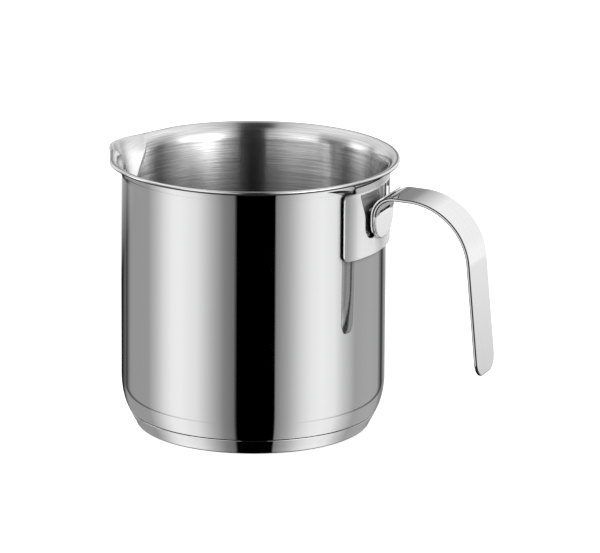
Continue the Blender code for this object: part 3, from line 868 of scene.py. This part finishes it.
studio = {
    "floorSize": 3.0, "floorGlow": 0.56, "floorColour": 0.8, "worldLevel": 0.95,
    "lampPower": 5.0, "lampSize": 1.2, "lampPlace": (-0.5, -0.7, 1.4),
    "darkBounces": 2.5,  # a ray's depth beyond which the upper room is dark
}
viewFrom = {
    "distance": 2673.588 * mm, "elevation": math.radians(15.86), "handleTurn": math.radians(67.5),
    "aimHeight": 70.0 * mm, "yaw": math.radians(-0.53328), "pitch": math.radians(0.2018),
    "roll": math.radians(-0.24809), "lens": 300, "sensor": 36, "nearest": 0.05, "farthest": 50.0,
}
# Levels of the studio, laid out by the face that mirrors them to the camera: twice the face's turn from the
# camera in degrees, to its right, and the level. wallBands are for upright faces, bowlBands for faces that
# lean up a little, upperBands for the flare and the shoulders, and topBands for nearly level faces.
wallBands = [
    (-180, 0.015), (-163, 0.015), (-157, 0.05), (-153, 0.10), (-150, 0.24), (-143, 0.34), (-104, 0.36),
    (-92, 0.60), (-84, 0.82), (-75, 0.98), (-66, 1.0), (-50, 0.87), (-36, 0.50), (-25, 0.25), (-15.7, 0.165),
    (-15.3, 0), (18.9, 0), (19.3, 0.23), (30, 0.43), (43, 0.78), (52, 0.94), (62, 1.0), (75, 0.93),
    (85, 0.67), (100, 0.40), (112, 0.42), (124, 0.43), (140, 0.40), (152, 0.22), (158, 0.30), (170, 0.42),
]
bowlBands = [
    (-180, 0.30), (-139, 0.25), (-125, 0.08), (-118, 0.21), (-107, 0.62), (-99, 0.44), (-93, 0.14),
    (-85, 0.046), (-77, 0.028), (-70, 0.030), (-66, 0.086), (-62, 0.062), (-57, 0.26), (-44, 0.32),
    (-33, 0.25), (-17, 0.127), (-11.2, 0.115), (-10.2, 0.004), (12.4, 0.004), (13.6, 0.07), (17, 0.09),
    (26, 0.24), (37, 0.77), (43, 0.98), (60, 0.61), (74, 0.187), (90, 0.063), (104, 0.13), (120, 0.19),
    (135, 0.225), (180, 0.20),
]
upperBands = [
    (-180, 0.5), (-150, 0.8), (-120, 0.85), (-104, 0.9), (-66, 1.0), (-40, 0.85), (-25, 0.6), (-18.5, 0.4),
    (-16.5, 0.03), (12.7, 0.03), (14.7, 0.45), (36, 0.85), (52, 1.0), (100, 1.0), (140, 0.96), (180, 0.9),
]
topBands = [(-180, 0.8), (85, 0.85), (105, 0.27), (165, 0.27), (180, 0.5)]
studioHeights = {  # degrees that a face leans up or down, and what it mirrors there
    "bowlStart": 1.0, "bowlFull": 7.0, "bowlGain": 4.5, "upperStart": 26.0, "upperFull": 42.0,
    "ceilingStart": 6.5, "ceilingFull": 11.0, "ceiling": 1.0,
    "calmStart": 15.0, "calmFull": 24.0, "calmLow": 0.55, "calmHigh": 0.95,
    "topStart": 62.0, "topFull": 88.0, "poleStart": 81.0, "poleFull": 86.5, "pole": 0.22,
    "deepStart": 25.0, "deepFull": 45.0, "deep": 0.015, "lowStart": -30.0, "lowFull": -38.0, "low": 0.02,
    "lineLean": 10.8, "lineTurn": 73.7, "lineShift": 1.2, "lineSquareness": 4, "lineWidth": 0.26,
    "lineLevel": 0.12, "lineFadeStart": 15.0, "lineFadeFull": 60.0,
}


def toCamera():  # level directions from the pot to the camera and to the camera's right
    turn = viewFrom["handleTurn"]
    return Vector((math.cos(turn), -math.sin(turn), 0)), Vector((math.sin(turn), math.cos(turn), 0))


def buildFloor():
    mesh = bpy.data.meshes.new("studioFloor")
    reach = studio["floorSize"]
    work = bmesh.new()
    bmesh.ops.create_grid(work, x_segments=2, y_segments=2, size=reach)
    work.to_mesh(mesh)
    work.free()
    material = bpy.data.materials.new("studioFloor")
    material.use_nodes = True
    tree = material.node_tree
    tree.nodes.remove(tree.nodes["Principled BSDF"])
    glow = addNode(tree, "ShaderNodeEmission")
    glow.inputs["Strength"].default_value = studio["floorGlow"]
    plain = addNode(tree, "ShaderNodeBsdfDiffuse")
    plain.inputs["Color"].default_value = (*[studio["floorColour"]] * 3, 1)
    both = addNode(tree, "ShaderNodeAddShader")
    setInputs(tree, both, {0: glow.outputs[0], 1: plain.outputs[0]})
    tree.links.new(both.outputs[0], tree.nodes["Material Output"].inputs["Surface"])
    floor = addPiece("studioFloor", mesh, [material])
    floor.visible_glossy = False


def addBands(tree, share, bands):
    steps = [((degrees + 180) / 360, level) for degrees, level in bands]
    return mathNode(tree, "ADD", rampNode(tree, share, steps), 0)


def blendNode(tree, low, high, share):  # low + (high - low) * share
    return mathNode(tree, "MULTIPLY_ADD", mathNode(tree, "SUBTRACT", high, low), share, low)


def leanShare(tree, lean, name):
    # 0 up to the lean where this part of the studio starts, 1 from the lean where it is full
    return mapNode(tree, lean, studioHeights[name + "Start"], studioHeights[name + "Full"], 0, 1)


def mirroringFace(tree, direction):
    # the face that mirrors this direction to the camera lies halfway between the two: its turn and its lean
    ahead, right = toCamera()
    tilt = viewFrom["elevation"]
    watcher = ahead * math.cos(tilt) + Vector((0, 0, math.sin(tilt)))
    face = vectorNode(tree, "NORMALIZE", vectorNode(tree, "ADD", direction, watcher))
    aside, toward, upward = [vectorNode(tree, "DOT_PRODUCT", face, axis)
                             for axis in (right, ahead, Vector((0, 0, 1)))]
    turn = mathNode(tree, "ARCTAN2", aside, toward)
    return turn, mathNode(tree, "MULTIPLY", mathNode(tree, "ARCSINE", upward), math.degrees(1))


def tableLine(tree, turn, lean):  # thin dark line where the backdrop meets the table, 1 beside it
    size = studioHeights
    square = size["lineSquareness"]
    shifted = mathNode(tree, "ABSOLUTE", mathNode(tree, "SUBTRACT", turn, math.radians(size["lineShift"])))
    turned = mathNode(tree, "DIVIDE", shifted, math.radians(size["lineTurn"]))
    leaned = mathNode(tree, "DIVIDE", mathNode(tree, "MINIMUM", lean, 0), size["lineLean"])
    ring = mathNode(tree, "ADD", mathNode(tree, "POWER", turned, square),
                    mathNode(tree, "POWER", leaned, square))
    away = mathNode(tree, "ABSOLUTE", mathNode(tree, "SUBTRACT", ring, 1))
    fadeStart, fadeFull = math.radians(size["lineFadeStart"]), math.radians(size["lineFadeFull"])
    depth = mapNode(tree, shifted, fadeStart, fadeFull, 1, size["lineLevel"])
    return mapNode(tree, away, 0, size["lineWidth"], depth, 1)


def buildWorld():
    world = bpy.data.worlds.new("studio")
    bpy.context.scene.world = world
    world.use_nodes = True
    tree = world.node_tree
    path = addNode(tree, "ShaderNodeLightPath").outputs
    turn, lean = mirroringFace(tree, addNode(tree, "ShaderNodeTexCoord").outputs["Generated"])
    share = mapNode(tree, turn, -math.pi / 2, math.pi / 2, 0, 1)
    size = studioHeights
    level = mathNode(tree, "MULTIPLY", addBands(tree, share, wallBands), tableLine(tree, turn, lean))
    level = blendNode(tree, level, size["low"], leanShare(tree, lean, "low"))
    # only the inside of the pot leans enough to catch the strong light; the handle sees no more than white
    most = mapNode(tree, lean, size["ceilingStart"], size["ceilingFull"], size["ceiling"], size["bowlGain"])
    bowl = mathNode(tree, "MULTIPLY", addBands(tree, share, bowlBands), size["bowlGain"])
    bowl = mathNode(tree, "MINIMUM", bowl, most)
    level = blendNode(tree, level, bowl, leanShare(tree, lean, "bowl"))
    # the flare sees the same light with its darkest and its brightest levels held back
    upper = addBands(tree, share, upperBands)
    calm = mathNode(tree, "MAXIMUM", bowl, mathNode(tree, "MULTIPLY", upper, size["calmLow"]))
    calm = mathNode(tree, "MINIMUM", calm, size["calmHigh"])
    level = blendNode(tree, level, calm, leanShare(tree, lean, "calm"))
    level = blendNode(tree, level, upper, leanShare(tree, lean, "upper"))
    level = blendNode(tree, level, addBands(tree, share, topBands), leanShare(tree, lean, "top"))
    level = blendNode(tree, level, size["pole"], leanShare(tree, lean, "pole"))
    # light that has bounced about inside the pot comes from the dark upper part of the room
    again = mathNode(tree, "GREATER_THAN", path["Ray Depth"], studio["darkBounces"])
    again = mathNode(tree, "MULTIPLY", again, leanShare(tree, lean, "deep"))
    level = blendNode(tree, level, size["deep"], again)
    level = blendNode(tree, studio["worldLevel"], level, path["Is Glossy Ray"])
    level = blendNode(tree, level, 1, path["Is Camera Ray"])
    tree.links.new(level, tree.nodes["Background"].inputs["Color"])


def buildLamp():
    light = bpy.data.lights.new("softbox", "AREA")
    light.energy = studio["lampPower"]
    light.size = studio["lampSize"]
    lamp = bpy.data.objects.new("softbox", light)
    lamp.location = studio["lampPlace"]
    lamp.rotation_euler = (-Vector(studio["lampPlace"])).to_track_quat("-Z", "Y").to_euler()
    lamp.visible_glossy = False
    bpy.context.scene.collection.objects.link(lamp)


def buildCamera():
    size = viewFrom
    ahead, right = toCamera()
    up = Vector((0, 0, 1))
    tilt = size["elevation"]
    place = (ahead * math.cos(tilt) + up * math.sin(tilt)) * size["distance"] + up * size["aimHeight"]
    forward = -ahead * math.cos(tilt) - up * math.sin(tilt)
    lift = right.cross(forward)
    yaw = Matrix.Rotation(size["yaw"], 3, lift)
    forward, right = yaw @ forward, yaw @ right
    pitch = Matrix.Rotation(size["pitch"], 3, right)
    forward, lift = pitch @ forward, pitch @ lift
    roll = Matrix.Rotation(size["roll"], 3, forward)
    right, lift = roll @ right, roll @ lift
    data = bpy.data.cameras.new("camera")
    data.lens = size["lens"]
    data.sensor_width = size["sensor"]
    data.clip_start, data.clip_end = size["nearest"], size["farthest"]
    camera = bpy.data.objects.new("camera", data)
    turn = Matrix((right, lift, -forward)).transposed()
    camera.matrix_world = Matrix.Translation(place) @ turn.to_4x4()
    bpy.context.scene.collection.objects.link(camera)
    bpy.context.scene.camera = camera


buildFloor()
buildWorld()
buildLamp()
buildCamera()
bpy.context.scene.view_settings.view_transform = "Standard"
print("studio made")
